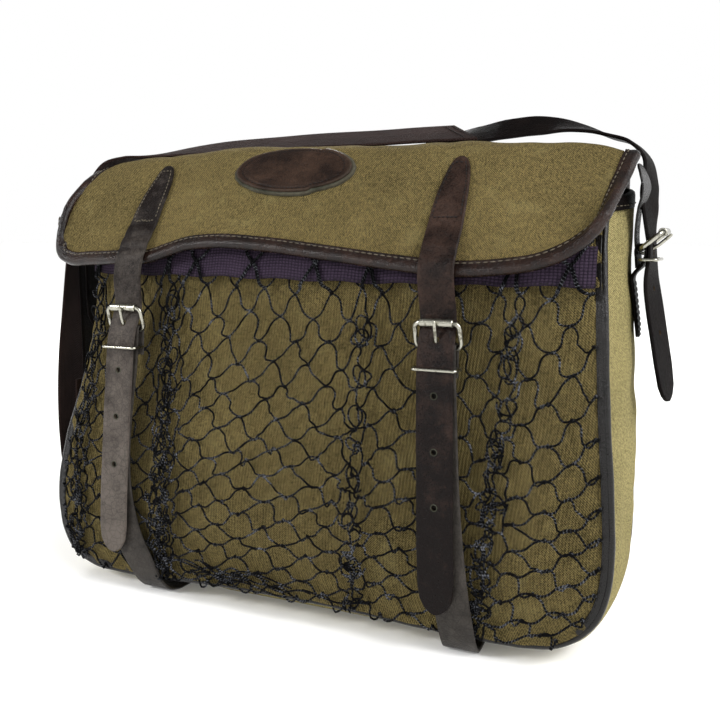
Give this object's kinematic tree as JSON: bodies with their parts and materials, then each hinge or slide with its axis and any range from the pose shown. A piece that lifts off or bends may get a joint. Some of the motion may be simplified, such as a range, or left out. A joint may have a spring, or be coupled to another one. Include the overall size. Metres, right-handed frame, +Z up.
{
  "type": "hunting game bag",
  "caption": "Canvas hunting game bag with leather straps, roller buckles, a knotted net front pocket and a webbing shoulder strap, standing closed.",
  "frame": {"origin": "on the floor, in the middle of the flat canvas underside", "axes": "+X to the bag's right as seen from the front, -Y out of the front, +Z up"},
  "size_m": [0.5113, 0.1371, 0.3606],
  "materials": {
    "canvas": "matt cotton canvas, olive khaki",
    "leather": "satin dark brown bridle leather",
    "band": "matt purple webbing",
    "net": "black knotted cord",
    "webbing": "matt dark brown webbing",
    "buckles": "worn nickel over brass, satin"
  },
  "bodies": {
    "root": {"front_panel": "canvas", "back_panel": "canvas", "gusset": "canvas", "gusset_trim_left": "leather", "gusset_trim_right": "leather", "front_piping": "leather", "back_piping": "leather", "flap": "canvas", "flap_binding": "leather", "net": "net", "net_band": "band", "upper_strap_right": "leather", "upper_strap_left": "leather", "lower_strap_right": "leather", "lower_strap_left": "leather", "patch_backing": "leather", "oval_patch": "leather", "buckle_frame_right": "buckles", "buckle_roller_right": "buckles", "buckle_tongue_right": "buckles", "buckle_frame_left": "buckles", "buckle_roller_left": "buckles", "buckle_tongue_left": "buckles", "keeper_right": "buckles", "keeper_left": "buckles", "tab_side_right": "leather", "tab_side_left": "leather", "buckle_frame_side_right": "buckles", "buckle_roller_side_right": "buckles", "buckle_tongue_side_right": "buckles", "buckle_frame_side_left": "buckles", "buckle_roller_side_left": "buckles", "buckle_tongue_side_left": "buckles", "keeper_side_right": "buckles", "keeper_side_left": "buckles", "shoulder_webbing": "webbing", "billet_right": "leather", "billet_left": "leather"}
  },
  "joints": []
}
